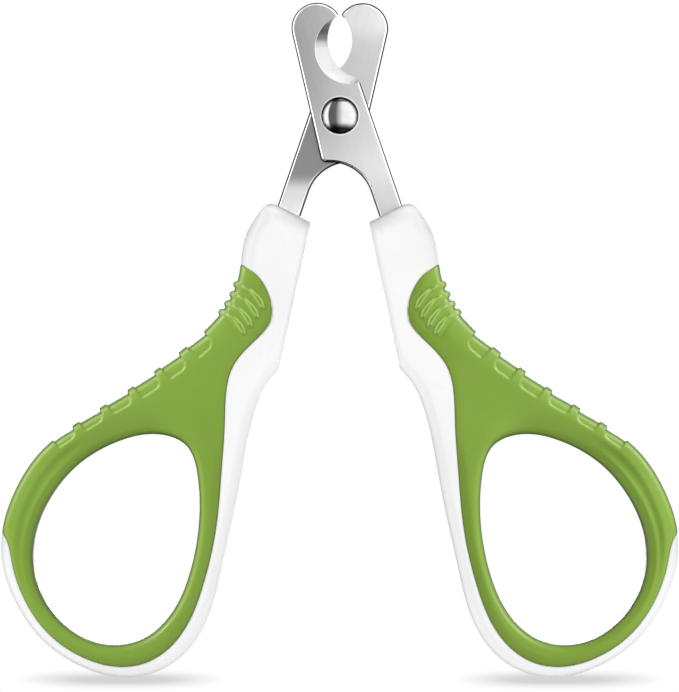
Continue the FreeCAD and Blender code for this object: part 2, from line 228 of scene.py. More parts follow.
def soft_max(a, b, blend):
    """Maximum of two fields with a rounded join."""
    h = np.clip(0.5 + 0.5 * (a - b) / blend, 0, 1)
    return b + (a - b) * h + blend * h * (1 - h)


def round_slab(side, half, y, radius):
    """Field of a slab with rounded rims: side is the plan distance to its edge."""
    out = side + radius
    up = np.abs(y) - (half - radius)
    corner = np.sqrt(np.maximum(out, 0) ** 2 + np.maximum(up, 0) ** 2)
    return corner + np.minimum(np.maximum(out, up), 0) - radius


def mesh_from_field(name, field, axes):
    """Smooth closed mesh where the field is zero; axes are the grid's positions, in mm."""
    inside = field < 0
    nx, ny, nz = field.shape
    cut = (nx - 1, ny - 1, nz - 1)
    corner_sum = np.zeros(cut, np.int8)
    corners = [(i, j, k) for i in (0, 1) for j in (0, 1) for k in (0, 1)]
    for i, j, k in corners:
        corner_sum += inside[i : nx - 1 + i, j : ny - 1 + j, k : nz - 1 + k]
    cells = np.argwhere((corner_sum > 0) & (corner_sum < 8))
    number = np.full(cut, -1, np.int64)
    number[tuple(cells.T)] = np.arange(len(cells))
    total = np.zeros((len(cells), 3))
    count = np.zeros(len(cells))
    for a in corners:
        for axis in range(3):
            if a[axis]:
                continue
            b = tuple(v + (k == axis) for k, v in enumerate(a))
            fa = field[tuple((cells + a).T)]
            fb = field[tuple((cells + b).T)]
            crosses = (fa < 0) != (fb < 0)
            share = np.where(crosses, fa / np.where(crosses, fa - fb, 1), 0)
            total += (np.array(a) + share[:, None] * (np.array(b) - np.array(a))) * crosses[:, None]
            count += crosses
    co = cells + total / count[:, None]
    faces = []
    for axis in range(3):
        u, v = [k for k in range(3) if k != axis]
        lead = [slice(0, n) for n in field.shape]
        lead[axis] = slice(0, field.shape[axis] - 1)
        tail = list(lead)
        tail[axis] = slice(1, field.shape[axis])
        starts = inside[tuple(lead)]
        changes = np.argwhere(starts != inside[tuple(tail)])
        ring = []
        for du, dv in ((1, 1), (0, 1), (0, 0), (1, 0)):
            at = changes.copy()
            at[:, u] -= du
            at[:, v] -= dv
            ring.append(number[tuple(at.T)])
        quads = np.stack(ring, 1)
        outward = starts[tuple(changes.T)]
        if axis == 1:
            outward = ~outward
        quads[~outward] = quads[~outward][:, ::-1]
        faces.append(quads)
    faces = np.vstack(faces)
    co = relax(co, faces, field)
    co = np.stack([np.interp(co[:, k], np.arange(len(axis)), axis) for k, axis in enumerate(axes)], 1)
    mesh = bpy.data.meshes.new(name)
    mesh.vertices.add(len(co))
    mesh.vertices.foreach_set("co", (co * MM).astype(np.float32).ravel())
    mesh.loops.add(faces.size)
    mesh.loops.foreach_set("vertex_index", faces.astype(np.int32).ravel())
    mesh.polygons.add(len(faces))
    mesh.polygons.foreach_set("loop_start", np.arange(0, faces.size, 4, dtype=np.int32))
    mesh.update(calc_edges=True)
    mesh.shade_smooth()
    return mesh


def relax(co, faces, field):
    """Evens the mesh out, putting its points back on the zero surface each time."""
    a = faces.ravel()
    b = np.roll(faces, -1, axis=1).ravel()
    degree = np.bincount(a, minlength=len(co)) + np.bincount(b, minlength=len(co))
    for _ in range(RELAX_ROUNDS):
        total = np.zeros_like(co)
        for axis in range(3):
            total[:, axis] = np.bincount(a, co[b, axis], len(co)) + np.bincount(b, co[a, axis], len(co))
        co = (1 - RELAX_SHARE) * co + RELAX_SHARE * total / degree[:, None]
        for _ in range(RETURN_STEPS):
            value, slope = sample(field, co)
            steep = (slope**2).sum(1)
            steep = np.maximum(steep, FLATTEST * steep.mean())
            co = co - slope * np.clip(value / steep, -1, 1)[:, None]
    return co


def sample(field, co):
    """Value and slope of the field at fractional grid positions."""
    size = np.array(field.shape)
    base = np.clip(np.floor(co).astype(int), 0, size - 2)
    f = np.clip(co - base, 0, 1)
    c = {}
    for i in (0, 1):
        for j in (0, 1):
            for k in (0, 1):
                c[i, j, k] = field[base[:, 0] + i, base[:, 1] + j, base[:, 2] + k]
    fx, fy, fz = f.T
    gx, gy, gz = 1 - f.T
    value = sum(c[i, j, k] * (fx if i else gx) * (fy if j else gy) * (fz if k else gz) for i, j, k in c)
    dx = sum((1 if i else -1) * c[i, j, k] * (fy if j else gy) * (fz if k else gz) for i, j, k in c)
    dy = sum((1 if j else -1) * c[i, j, k] * (fx if i else gx) * (fz if k else gz) for i, j, k in c)
    dz = sum((1 if k else -1) * c[i, j, k] * (fx if i else gx) * (fy if j else gy) for i, j, k in c)
    return value, np.stack([dx, dy, dz], 1)


# ------------------------------------------------------------------ handle surface
EDGE_ROUND = 1.15  # from the shoulder down to the outside edge
HOLE_ROUND = 1.5
SEAM_ROUND = 0.55
CORE_ROUND = 2.1
CORE_TOP_SHARPER = 1.1  # taken off CORE_ROUND at the neck's top
CORE_STRAIGHT_ROUND = 0.95
BLEND = 0.3
SEAM_BLEND = 0.12
ROOM_OUTSIDE = 0.75  # room the grid leaves in front of and behind the grip
FAR_LEFT = -8.0
PAST_HEEL = 6.0
HEEL_RUN = 8  # points at the outline's end that give its direction there
SEAM_BEYOND = ((75.0, -66.3), (75.0, -15.0), (30.0, -15.0), (30.0, -21.7))

# where one part of the handle changes into the next: the x or z at which a change starts and ends
RING_FROM = (44, 51)
RING_OUTER = (44, 54)
RING_LOW = (-90, -76)
BEAD_FROM = (-95, -86)
SHOULDER_NARROWS = (-62, -42)
ABOVE_HOLE_Z = (-68, -60)
ABOVE_HOLE_X = (26, 34)
BESIDE_HOLE = (-66, -56)
WAIST_FROM = (-48, -38)
NECK_LOW = (-30, -26)
NECK_HIGH = (-18, -16)
NECK_TOP = (-20.5, -17)

# what each feature takes off the half thickness, over which width, and how hollow its slope is
SHOULDER_DROP, SHOULDER_WIDTH, SHOULDER_POWER = 0.85, 4.2, 1.9
RING_SHOULDER_DROP, RING_SHOULDER_WIDTH, RING_SHOULDER_POWER = 0.25, 1.75, 0.65  # so much less on the ring
VALLEY_DEPTH, VALLEY_EASE = 0.24, (-0.1, 1.2)  # eases in across the foot of the shoulder
BEAD_HEIGHT, BEAD_AT, BEAD_WIDTH = 0.15, 1.75, 0.42
ABOVE_HOLE_DROP, ABOVE_HOLE_WIDTH = 1.2, 6.0
HOLE_DROP, HOLE_WIDTH = 0.22, 2.4
SEAM_DROP, SEAM_WIDTH, SEAM_POWER = 0.08, 1.4, 1.5
BESIDE_DROP, BESIDE_OUTER_DROP, BESIDE_WIDTH = 0.40, 0.2, 0.5  # more along the seam beside the hole
WAIST_DROP, WAIST_WIDTH, WAIST_POWER = 0.42, 4.0, 1.6
DISH_CENTRE = (17.0, -34.3)
DISH_ANGLE = math.radians(24.0)
DISH_REACH = 7.0
DISH_DEPTH = 0.32
PANEL_DEPTH = 0.26
PANEL_WALL = (-0.10, 0.12)
PANEL_SIDE, PANEL_SIDE_EASES = 0.62, 0.25  # how deep a panel cuts the edge, and how much less at its end
RIB_HEIGHT, RIB_WIDTH = 0.36, 0.32
LIP_HEIGHT, LIP_WIDTH = 0.11, 0.17
GROOVE_DEPTH, GROOVE_AT, GROOVE_WIDTH = 0.06, 0.95, 0.28
RIB_FADE = (0.7, 2.2)
LIP_FADE = (1.6, 3.0)
BUMP_OUT, BUMP_ROUND, BUMP_FADE = 0.55, (0.25, 0.80), (0.3, 2.2)
# widths and strengths of the painted highlight lines along the rib lips, the rib bodies and the panel walls
CREST_LIP_WIDTH, CREST_RIB_WIDTH, CREST_RIB, CREST_PANEL = 0.15, 0.20, 0.45, 0.5
CREST_PANEL_FADE = (0.5, 1.2)
CORE_DROP, CORE_NECK_DROP, CORE_WIDTH, CORE_POWER = 0.25, 0.45, 2.9, 1.5
UNDER_GRIP = (-0.06, 0.3)
UNDER_DROP, UNDER_IN = 0.7, 0.45  # how far the core draws back under the grip
CORE_INTO_HOLE, CORE_PAST_SEAM = 1.5, 1.1


def hump(distance, width):
    """Bell of height 1 round distance zero."""
    return np.exp(-((distance / width) ** 2))


def fall(distance, width, power):
    """From 1 at distance zero down to 0 at the width."""
    return np.clip(1 - distance / width, 0, 1) ** power


def panel_corners(start, end, reach):
    """Outline of one sunk panel, its corners rounded."""
    start, end = np.array(start), np.array(end)
    along = (end - start) / np.linalg.norm(end - start)
    inward = np.array([along[1], -along[0]])
    length = np.linalg.norm(end - start)
    # along the edge, in from the edge, and the corner's radius; the first two lie clear of the grip
    plan = ((-0.2, -2.0, 0), (length, -2.0, 0), (length, 0.9 * reach, 0.45), (-0.15, reach, 1.7))
    corners = [(start + along * s + inward * t, radius) for s, t, radius in plan]
    line = []
    for k, (here, radius) in enumerate(corners):
        back = corners[k - 1][0] - here
        ahead = corners[(k + 1) % len(corners)][0] - here
        a = here + back / np.linalg.norm(back) * radius
        b = here + ahead / np.linalg.norm(ahead) * radius
        for u in np.linspace(0, 1, 8 if radius else 1):
            line.append(a * (1 - u) ** 2 + here * 2 * u * (1 - u) + b * u**2)
    return straight_run(line + line[:1])[:-1], start, along, length


class Handle:
    """Plan distances of the front lever's handle, all negative inside what they bound."""

    def __init__(self):
        self.plan = Plan()
        outside = smooth_curve(OUTSIDE)
        end_run = outside[-1] - outside[-HEEL_RUN]
        end_run = end_run / np.linalg.norm(end_run)
        slope = (NECK_TOP_OUTER[1] - NECK_TOP_INNER[1]) / (NECK_TOP_OUTER[0] - NECK_TOP_INNER[0])
        top_left = (FAR_LEFT, NECK_TOP_INNER[1] + slope * (FAR_LEFT - NECK_TOP_INNER[0]))
        beyond_heel = outside[-1] + end_run * PAST_HEEL
        run = [outside[-1], beyond_heel, (FAR_LEFT, beyond_heel[1]), top_left, NECK_TOP_OUTER, outside[0]]
        self.out = self.plan.signed(np.vstack([outside, straight_run(run)[1:-1]]))
        self.hole = -self.plan.signed(smooth_curve(FINGER_HOLE, closed=True)[:-1])
        seam = smooth_curve(SEAM)
        self.seam = self.plan.signed(np.vstack([seam, straight_run([seam[-1], *SEAM_BEYOND, seam[0]])[1:-1]]))
        down = np.array(HEEL_STOP) - NECK_TOP_INNER
        down = down / np.linalg.norm(down)
        x, z = self.plan.x - HEEL_STOP[0], self.plan.z - HEEL_STOP[1]
        self.straight = x * down[1] - z * down[0]

    def panels(self):
        """Share sunk by the panels, and how deep they are at the edge."""
        sunk = np.zeros_like(self.out)
        deep = np.zeros_like(self.out)
        for start, end, reach in PANELS:
            loop, start, along, length = panel_corners(start, end, reach)
            share = ramp(-self.plan.signed(loop), *PANEL_WALL)
            progress = ((self.plan.x - start[0]) * along[0] + (self.plan.z - start[1]) * along[1]) / length
            sunk = np.maximum(sunk, share)
            deep = np.maximum(deep, share * (PANEL_SIDE - PANEL_SIDE_EASES * np.clip(progress, 0, 1)))
        return sunk, deep

    def ribs(self, line):
        """Distance to the nearest of the four copies of a rib line."""
        return np.min([self.plan.distance(smooth_curve(np.array(line) + step)) for step in RIB_STEPS], axis=0)

    def grip_surface(self):
        """Half thickness of the grip, and how far its side stands out, at each plan point."""
        x, z = self.plan.x, self.plan.z
        edge, rim, inner = -self.out, -self.hole, -self.seam
        ring = ramp(x, *RING_FROM)
        high = ramp(z, *RING_LOW)
        half = np.full_like(x, GRIP_HALF)
        width = SHOULDER_WIDTH - RING_SHOULDER_WIDTH * (1 - ramp(z, *SHOULDER_NARROWS))
        power = SHOULDER_POWER - RING_SHOULDER_POWER * ring
        half -= (SHOULDER_DROP - RING_SHOULDER_DROP * ring) * fall(edge, width, power)
        half -= VALLEY_DEPTH * ring * high * ramp(edge - width, *VALLEY_EASE)
        half += BEAD_HEIGHT * ring * ramp(z, *BEAD_FROM) * hump(rim - BEAD_AT, BEAD_WIDTH)
        above = ramp(z, *ABOVE_HOLE_Z) * ramp(x, *ABOVE_HOLE_X)
        half -= above * ABOVE_HOLE_DROP * fall(rim, ABOVE_HOLE_WIDTH, 2)
        half -= (1 - above) * HOLE_DROP * fall(rim, HOLE_WIDTH, 2)
        beside = 1 - ramp(z, *BESIDE_HOLE)
        drop = SEAM_DROP + (BESIDE_DROP - BESIDE_OUTER_DROP * ramp(x, *RING_OUTER)) * beside
        half -= drop * fall(inner, SEAM_WIDTH + BESIDE_WIDTH * beside, SEAM_POWER)
        half -= WAIST_DROP * ramp(z, *WAIST_FROM) * fall(inner, WAIST_WIDTH, WAIST_POWER)
        dip = (z - DISH_CENTRE[1]) * math.cos(DISH_ANGLE) - (x - DISH_CENTRE[0]) * math.sin(DISH_ANGLE)
        half -= DISH_DEPTH * np.clip(1 - (dip / DISH_REACH) ** 2, 0, 1) ** 1.5
        sunk, deep = self.panels()
        half -= PANEL_DEPTH * sunk
        side = self.out + deep
        body, lip = self.ribs(RIB_BODY), self.ribs(RIB_LIP)
        face, clear = ramp(edge, *RIB_FADE), ramp(edge, *LIP_FADE)
        half += face * RIB_HEIGHT * hump(body, RIB_WIDTH)
        half += clear * LIP_HEIGHT * hump(lip, LIP_WIDTH)
        half -= face * GROOVE_DEPTH * hump(body - GROOVE_AT, GROOVE_WIDTH)
        side -= BUMP_OUT * (1 - ramp(body, *BUMP_ROUND)) * (1 - ramp(edge, *BUMP_FADE))
        # painted highlight: where the green is lightened along the rib lips, the rib bodies and round the
        # panel walls
        self.painted_highlight = clear * (hump(lip, CREST_LIP_WIDTH) + CREST_RIB * hump(body, CREST_RIB_WIDTH))
        outlined = np.clip(4 * sunk * (1 - sunk), 0, 1) ** 2
        self.painted_highlight += CREST_PANEL * ramp(edge, *CREST_PANEL_FADE) * outlined
        return half, side

    def core_surface(self):
        """Half thickness of the rigid core at each plan point; it drops away just inside the seam."""
        z = self.plan.z
        half = np.full_like(z, CORE_HALF)
        neck = ramp(z, *NECK_LOW) * (1 - ramp(z, *NECK_HIGH))
        half -= (CORE_DROP + CORE_NECK_DROP * neck) * fall(-self.out, CORE_WIDTH, CORE_POWER)
        under = ramp(-self.seam, *UNDER_GRIP)
        return half - UNDER_DROP * under, self.out + UNDER_IN * under


def solid_field(part, ys):
    """Field of the grip or the core on the full grid."""
    y = ys[None, :, None]

    def full(plan_field):
        return plan_field[:, None, :]

    if part == "grip":
        half, side = handle.grip_surface()
        field = round_slab(full(side), full(half), y, EDGE_ROUND)
        field = soft_max(field, round_slab(full(handle.hole), full(half), y, HOLE_ROUND), BLEND)
        return soft_max(field, round_slab(full(handle.seam), full(half), y, SEAM_ROUND), SEAM_BLEND)
    half, side = handle.core_surface()
    top = ramp(handle.plan.z, *NECK_TOP)
    field = round_slab(full(side), full(half), y, full(CORE_ROUND - CORE_TOP_SHARPER * top))
    field = soft_max(field, round_slab(full(handle.straight), full(half), y, CORE_STRAIGHT_ROUND), BLEND)
    field = soft_max(field, full(handle.hole + CORE_INTO_HOLE), BLEND)
    return soft_max(field, full(-handle.seam - CORE_PAST_SEAM), BLEND)


def handle_mesh(part):
    """Mesh of the grip or the core; on the grip, a point attribute marks where highlight lines are painted
    along the ribs and the panel walls.
    """
    plan = handle.plan
    reach = GRIP_HALF + ROOM_OUTSIDE
    count = int(2 * reach / THROUGH) + 1
    ys = (np.arange(count) - (count - 1) / 2) * THROUGH
    field = solid_field(part, ys).astype(np.float32)
    mesh = mesh_from_field(part, field, (plan.xs, ys, plan.zs))
    if part == "grip":
        co = np.zeros(len(mesh.vertices) * 3, np.float32)
        mesh.vertices.foreach_get("co", co)
        x, _, z = co.reshape(-1, 3).T / MM
        painted_highlight = mesh.attributes.new("painted_highlight", "FLOAT", "POINT")
        painted_highlight.data.foreach_set("value", plan.value_at(handle.painted_highlight, x, z).astype(np.float32))
    return mesh


def place(name, mesh, body, cad_node, material, turned):
    """Shown piece standing for a CAD node; turned gives the half turn about Z of the rear lever."""
    mesh = mesh.copy()
    mesh.name = name
    co = np.zeros(len(mesh.vertices) * 3, np.float32)
    mesh.vertices.foreach_get("co", co)
    co = co.reshape(-1, 3)
    if turned:
        co[:, :2] *= -1
    co += np.array(PIVOT)
    mesh.vertices.foreach_set("co", co.ravel())
    mesh.update()
    piece = bpy.data.objects.new(name, mesh)
    bpy.context.scene.collection.objects.link(piece)
    mesh.materials.append(material)
    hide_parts(cad_node)
    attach(piece, body)
    return piece


# ------------------------------------------------------------------ materials
class Nodes:
    """Short hand for wiring a material's nodes."""

    def __init__(self, name):
        self.material = bpy.data.materials.get(name) or bpy.data.materials.new(name)
        self.material.use_nodes = True
        self.tree = self.material.node_tree
        self.tree.nodes.clear()
        self.surface = self.tree.nodes.new("ShaderNodeBsdfPrincipled")
        output = self.tree.nodes.new("ShaderNodeOutputMaterial")
        self.tree.links.new(self.surface.outputs[0], output.inputs["Surface"])
        self.where = self.add("ShaderNodeTexCoord").outputs["Object"]

    def add(self, kind, inputs=None, **settings):
        node = self.tree.nodes.new(kind)
        for key, value in settings.items():
            setattr(node, key, value)
        for key, value in (inputs or {}).items():
            self.feed(node.inputs[key], value)
        return node

    def feed(self, socket, value):
        if isinstance(value, bpy.types.NodeSocket):
            self.tree.links.new(value, socket)
        else:
            socket.default_value = value

    def noise(self, scale, detail=3.0, roughness=0.5, stretch=None):
        where = self.where
        if stretch:
            where = self.add("ShaderNodeMapping", {"Vector": where, "Scale": stretch}).outputs[0]
        inputs = {"Vector": where, "Scale": scale, "Detail": detail, "Roughness": roughness}
        return self.add("ShaderNodeTexNoise", inputs).outputs[0]

    def spread(self, value, low, high, out_low, out_high):
        inputs = {0: value, 1: low, 2: high, 3: out_low, 4: out_high}
        return self.add("ShaderNodeMapRange", inputs).outputs[0]

    def levels(self, value, pairs):
        """Brightness that runs through the given (value, level) pairs, smoothly between them."""
        pairs = sorted(pairs)
        low, high = pairs[0][0], pairs[-1][0]
        node = self.add("ShaderNodeValToRGB", {0: self.spread(value, low, high, 0.0, 1.0)})
        node.color_ramp.interpolation = "EASE"
        elements = node.color_ramp.elements
        while len(elements) < len(pairs):
            elements.new(0.5)
        for k, (at, level) in enumerate(pairs):
            elements[k].position = (at - low) / (high - low)
            elements[k].color = (level, level, level, 1)
        return node.outputs[0]

    def mix(self, share, a, b):
        node = self.add("ShaderNodeMix", data_type="RGBA")
        self.feed(node.inputs[0], share)
        self.feed(node.inputs[6], a)
        self.feed(node.inputs[7], b)
        return node.outputs[2]

    def math(self, operation, a, b=0.0, clamp=False):
        node = self.add("ShaderNodeMath", operation=operation, use_clamp=clamp)
        self.feed(node.inputs[0], a)
        self.feed(node.inputs[1], b)
        return node.outputs[0]

    def bump(self, height, distance, strength):
        inputs = {"Height": height, "Distance": distance, "Strength": strength}
        return self.add("ShaderNodeBump", inputs).outputs[0]

    def distance(self, a, b):
        return self.add("ShaderNodeVectorMath", {0: a, 1: b}, operation="DISTANCE").outputs["Value"]

    def turned_away(self):
        """0 where the surface faces the eye, 1 where it is seen edge on."""
        return self.add("ShaderNodeLayerWeight", {"Blend": 0.5}).outputs["Facing"]

    def rest(self, share):
        """What is left of a share."""
        return self.math("SUBTRACT", 1.0, share)

    def set(self, **values):
        for key, value in values.items():
            self.feed(self.surface.inputs[key.replace("_", " ")], value)


# Texture scales are counts per metre; colours are linear. The middle of a noise texture is its useful part.
NOISE_MIDDLE = (0.3, 0.7)
NOISE_NARROW = (0.35, 0.65)
# near black mixed into the plastics' base colour as painted shade where a surface turns edge on
SHADE = (0.02, 0.025, 0.02, 1)
BLACK = (0, 0, 0, 1)
GREEN_TONES = ((0.158, 0.270, 0.025, 1), (0.174, 0.294, 0.031, 1))
GREEN_SPECKS = (0.205, 0.335, 0.045, 1)
# light green of the painted highlights on the ribs and panel walls
GREEN_HIGHLIGHT = (0.50, 0.74, 0.20, 1)
WHITE_TONES = ((0.81, 0.812, 0.818, 1), (0.85, 0.85, 0.852, 1))


def soft_green():
    """Satin elastomer: moulded grain, faint clouding, painted highlights along the ribs and panel walls, and
    painted shade where it turns away.
    """
    n = Nodes("soft_green")
    cloud = n.noise(55.0, 4.0)
    grain = n.noise(5200.0, 2.0)
    wear = n.noise(420.0, 5.0, 0.62)
    tone = n.mix(n.spread(cloud, *NOISE_NARROW, 0.0, 1.0), *GREEN_TONES)
    specks = n.spread(grain, *NOISE_MIDDLE, 0.0, 0.10)
    tone = n.mix(specks, tone, GREEN_SPECKS)
    # painted highlight: the green is lightened along the rib lines and panel walls
    painted_highlight = n.add("ShaderNodeAttribute", attribute_name="painted_highlight").outputs["Fac"]
    tone = n.mix(n.math("MULTIPLY", painted_highlight, 0.80, clamp=True), tone, GREEN_HIGHLIGHT)
    deepest = 0.78
    # painted shade: the base colour darkens towards the outline, where the surface turns edge on
    turned = n.spread(n.turned_away(), 0.30, 0.66, 0.0, deepest)
    n.set(Base_Color=n.mix(turned, tone, SHADE))
    n.set(Specular_IOR_Level=n.spread(turned, 0.0, deepest, 0.34, 0.05))
    n.set(Roughness=n.spread(wear, *NOISE_MIDDLE, 0.33, 0.46))
    n.set(Normal=n.bump(grain, 0.03 * MM, 0.35))
    return n.material


def white_plastic():
    """Glossier rigid plastic with a faint orange-peel surface and light handling marks."""
    n = Nodes("white_shell")
    cloud = n.noise(40.0, 3.0)
    peel = n.noise(1500.0, 2.0)
    marks = n.noise(260.0, 6.0, 0.7, (1.0, 1.0, 0.35))
    tone = n.mix(n.spread(cloud, *NOISE_NARROW, 0.0, 1.0), *WHITE_TONES)
    # painted shade: the white darkens a little towards the outline, where the surface turns edge on
    turned = n.spread(n.turned_away(), 0.30, 0.92, 0.0, 0.25)
    n.set(Base_Color=n.mix(turned, tone, SHADE), Specular_IOR_Level=0.45)
    n.set(Roughness=n.spread(marks, 0.35, 0.75, 0.26, 0.40))
    n.set(Normal=n.bump(peel, 0.02 * MM, 0.25))
    return n.material


# Blade steel, in mm from the pivot. Tilt is how squarely a surface looks along Y: 1 on the flat of the blade.
BRUSH_LEAN = math.radians(16)
NOTCH_CENTRE = (1.80, 12.03)
NOTCH_RADIUS = 6.3
NOTCH_SOFT = 0.05
BLADE_THICK = 1.5
TONES_REACH = 8.5
FLAT_TILT = (0.93, 0.995)
BEVEL_TILT = (0.90, 0.925)
RIM_TILT = (0.02, 0.12)
RIM_DEPTH = (0.19, 0.23)
RIM_DARK = 0.98
# painted highlight round the rivet: the radii over which it fades, and how much brighter it makes the flat
RIVET_RING = (3.48, 3.66)
RIVET_RING_HIGHLIGHT = 1.6
# painted shade: how far the flat must turn away before it is dimmed, and how dim it gets
SLANT = (0.03, 0.27)
SLANT_DIM = 0.50
BROKEN_EDGE_LEVEL = 0.86
# painted reflection: brightness of the ground bevel at heights above the pivot
BEVEL_REFLECTIONS = (
    (4.5, 1.0), (6.5, 0.84), (8.5, 0.66), (12.0, 0.62), (12.8, 0.50), (14.0, 0.20),
    (15.2, 0.11), (16.2, 0.17), (17.4, 0.48), (18.3, 0.60),
)
# painted reflection: brightness of each blade's flat at heights above the pivot, at its left and its right
FRONT_REFLECTIONS = (
    (-18, (0.56, 0.66)), (-14.5, (0.66, 0.80)), (-10, (0.62, 0.92)),
    (0, (0.42, 0.86)), (10, (0.40, 0.78)), (20, (0.44, 0.80)),
)
REAR_REFLECTIONS = (
    (-18, (1.0, 1.0)), (-13.9, (0.88, 0.88)), (-10.4, (0.32, 0.32)), (-1, (0.30, 0.34)),
    (2, (0.5, 0.72)), (12, (0.62, 0.76)), (17.5, (0.66, 1.0)),
)


def by_height(n, z, reflection_tones):
    """Brightness through (height above the pivot in mm, level) pairs."""
    return n.levels(z, [(PIVOT.z + height * MM, level) for height, level in reflection_tones])


def brushed_flat(n, x, z, plan, reflection_tones, streaks):
    """Brightness of the blade's flat: broad bands of painted reflection, brush streaks, smudges, a painted
    highlight ring round the rivet, and painted shade where it turns away.
    """
    # painted reflection: levels by height, blended from the blade's left to its right
    left = by_height(n, z, [(height, pair[0]) for height, pair in reflection_tones])
    right = by_height(n, z, [(height, pair[1]) for height, pair in reflection_tones])
    across = n.spread(x, -TONES_REACH * MM, TONES_REACH * MM, 0.0, 1.0)
    sweep = n.math("ADD", left, n.math("MULTIPLY", across, n.math("SUBTRACT", right, left)))
    smudge = n.spread(n.noise(170.0, 4.0), *NOISE_MIDDLE, 0.97, 1.03)
    level = n.math("MULTIPLY", sweep, n.spread(streaks, *NOISE_MIDDLE, 0.93, 1.06))
    level = n.math("MULTIPLY", level, smudge)
    from_pivot = n.distance(plan, (0, 0, PIVOT.z))
    inner, outer = RIVET_RING
    # painted highlight: the flat is brighter within the ring round the rivet
    level = n.math("MULTIPLY", level, n.spread(from_pivot, inner * MM, outer * MM, RIVET_RING_HIGHLIGHT, 1.0))
    # painted shade: dimmer as the flat turns away from the eye
    return n.math("MULTIPLY", level, n.spread(n.turned_away(), *SLANT, 1.0, SLANT_DIM))


def ground_bevel(n, plan, tilt, side):
    """Share of the surface that is the ground crescent of the notch."""
    centre = (side * NOTCH_CENTRE[0] * MM, 0.0, PIVOT.z + NOTCH_CENTRE[1] * MM)
    inner, outer = (NOTCH_RADIUS - NOTCH_SOFT) * MM, (NOTCH_RADIUS + NOTCH_SOFT) * MM
    inside = n.spread(n.distance(plan, centre), inner, outer, 1.0, 0.0)
    return n.math("MULTIPLY", inside, n.spread(tilt, *BEVEL_TILT, 1.0, 0.0))


def dark_rim(n, y, tilt):
    """Share of painted shade on the outer part of the broken edge, by how far it lies below the blade's face.
    """
    half = BLADE_THICK / 2 * MM
    sunk = n.math("ABSOLUTE", n.math("SUBTRACT", n.math("ABSOLUTE", y), half))
    sunk = n.math("SUBTRACT", half, sunk)
    deep = n.spread(sunk, RIM_DEPTH[0] * MM, RIM_DEPTH[1] * MM, 0.0, 1.0)
    return n.math("MULTIPLY", deep, n.spread(tilt, *RIM_TILT, 0.0, RIM_DARK))


def steel(name, side, reflection_tones):
    """Brushed blade steel with a bright broken edge, a painted dark rim of shade and a ground crescent round
    the notch; the brightness of the flat and of the crescent is painted reflection, set by position.
    """
    n = Nodes(name)
    x, y, z = n.add("ShaderNodeSeparateXYZ", {0: n.where}).outputs
    plan = n.add("ShaderNodeCombineXYZ", {0: x, 2: z}).outputs[0]
    normal = n.add("ShaderNodeNewGeometry").outputs["Normal"]
    tilt = n.math("ABSOLUTE", n.add("ShaderNodeSeparateXYZ", {0: normal}).outputs["Y"])
    lean = {"Vector": n.where, "Rotation": (0.0, side * BRUSH_LEAN, 0.0)}
    n.where = n.add("ShaderNodeMapping", lean).outputs[0]
    scratch = n.noise(1500.0, 4.0, 0.65, (5.0, 1.0, 0.10))
    broad = n.noise(420.0, 3.0, 0.6, (2.0, 1.0, 0.12))
    streaks = n.math("ADD", n.math("MULTIPLY", scratch, 0.45), n.math("MULTIPLY", broad, 0.55))

    flat = n.spread(tilt, *FLAT_TILT, 0.0, 1.0)
    ground = ground_bevel(n, plan, tilt, side)
    # painted reflection on the ground crescent, by height
    bevel = n.math("SUBTRACT", by_height(n, z, BEVEL_REFLECTIONS), BROKEN_EDGE_LEVEL)
    edges = n.math("ADD", BROKEN_EDGE_LEVEL, n.math("MULTIPLY", ground, bevel))
    face = n.math("MULTIPLY", brushed_flat(n, x, z, plan, reflection_tones, streaks), flat)
    level = n.math("ADD", face, n.math("MULTIPLY", n.rest(flat), edges))
    # painted shade: the dark rim along the broken edge
    rim = n.math("MULTIPLY", dark_rim(n, y, tilt), n.math("MULTIPLY", n.rest(ground), n.rest(flat)))
    level = n.math("MULTIPLY", level, n.rest(rim))

    n.set(Base_Color=n.mix(level, BLACK, (1.0, 1.0, 1.005, 1)), Metallic=1.0)
    rough = n.math("ADD", n.math("MULTIPLY", flat, 0.05), n.math("MULTIPLY", ground, 0.25))
    n.set(Roughness=n.math("ADD", n.spread(broad, *NOISE_MIDDLE, 0.23, 0.29), rough))
    n.set(Normal=n.bump(scratch, 0.01 * MM, 0.2))
    return n.material


def spring_steel():
    """Dull washer: fine turning marks and a slightly straw-grey heat tint."""
    n = Nodes("spring_steel")
    mark = n.noise(2400.0, 4.0, 0.6)
    tint = n.noise(700.0, 3.0)
    n.set(Base_Color=n.mix(tint, (0.38, 0.37, 0.36, 1), (0.50, 0.50, 0.51, 1)), Metallic=1.0)
    n.set(Roughness=n.spread(mark, *NOISE_MIDDLE, 0.26, 0.38))
    n.set(Normal=n.bump(mark, 0.01 * MM, 0.25))
    return n.material


def chrome():
    """Polished rivet: nearly a mirror, with painted shade round its rim, hairline scratches and light
    smudges.
    """
    n = Nodes("polished_rivet")
    smudge = n.noise(600.0, 5.0, 0.6)
    haze = n.noise(2600.0, 3.0)
    clean = n.spread(smudge, *NOISE_MIDDLE, 0.0, 1.0)
    tone = n.mix(clean, (0.56, 0.56, 0.565, 1), (0.62, 0.62, 0.625, 1))
    # painted shade: the dome turns black towards its outline
    rim = n.spread(n.turned_away(), 0.130, 0.175, 0.0, 0.97)
    n.set(Base_Color=n.mix(rim, tone, BLACK), Metallic=1.0)
    n.set(Roughness=n.spread(smudge, *NOISE_MIDDLE, 0.07, 0.12))
    n.set(Normal=n.bump(haze, 0.004 * MM, 0.15))
    return n.material


# ------------------------------------------------------------------ pieces
SOFT_EDGE = 0.07
SOFT_EDGE_STEPS = 3
SOFT_EDGE_ANGLE = math.radians(24)
FLAT_ANGLE = math.radians(0.5)


